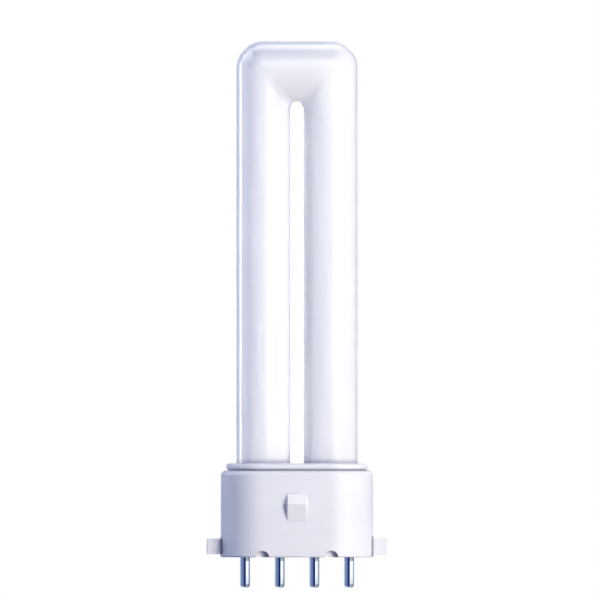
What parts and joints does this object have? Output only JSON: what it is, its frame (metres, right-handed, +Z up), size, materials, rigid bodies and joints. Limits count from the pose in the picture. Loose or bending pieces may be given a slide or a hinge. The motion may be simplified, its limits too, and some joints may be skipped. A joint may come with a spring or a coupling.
{
  "type": "compact fluorescent bulb",
  "caption": "Plug-in compact fluorescent bulb: a white coated glass tube bent double over a moulded cap with contact pins in a line.",
  "frame": {"origin": "centre of the cap's underside, where it seats on the lampholder", "axes": "+Z up from the seat along the glass legs, +X to the right along the row of pins, -Y towards the viewer of the picture"},
  "size_m": [0.0402, 0.0218, 0.1215],
  "materials": {
    "coated_glass": "clear glass over a white coating, smooth and glossy",
    "cap_plastic": "moulded white plastic, satin",
    "cement": "dry white cement, matt",
    "pin_nickel": "nickel plate, bright",
    "lead_nickel": "bare nickel wire"
  },
  "bodies": {
    "root": {"discharge_tube": "coated_glass", "cap_housing": "cap_plastic", "cap_collar": "cap_plastic", "cement_ring_left": "cement", "cement_ring_right": "cement", "contact_pin_1": "pin_nickel", "lead_wire_1": "lead_nickel", "contact_pin_2": "pin_nickel", "lead_wire_2": "lead_nickel", "contact_pin_3": "pin_nickel", "lead_wire_3": "lead_nickel", "contact_pin_4": "pin_nickel", "lead_wire_4": "lead_nickel"}
  },
  "joints": []
}
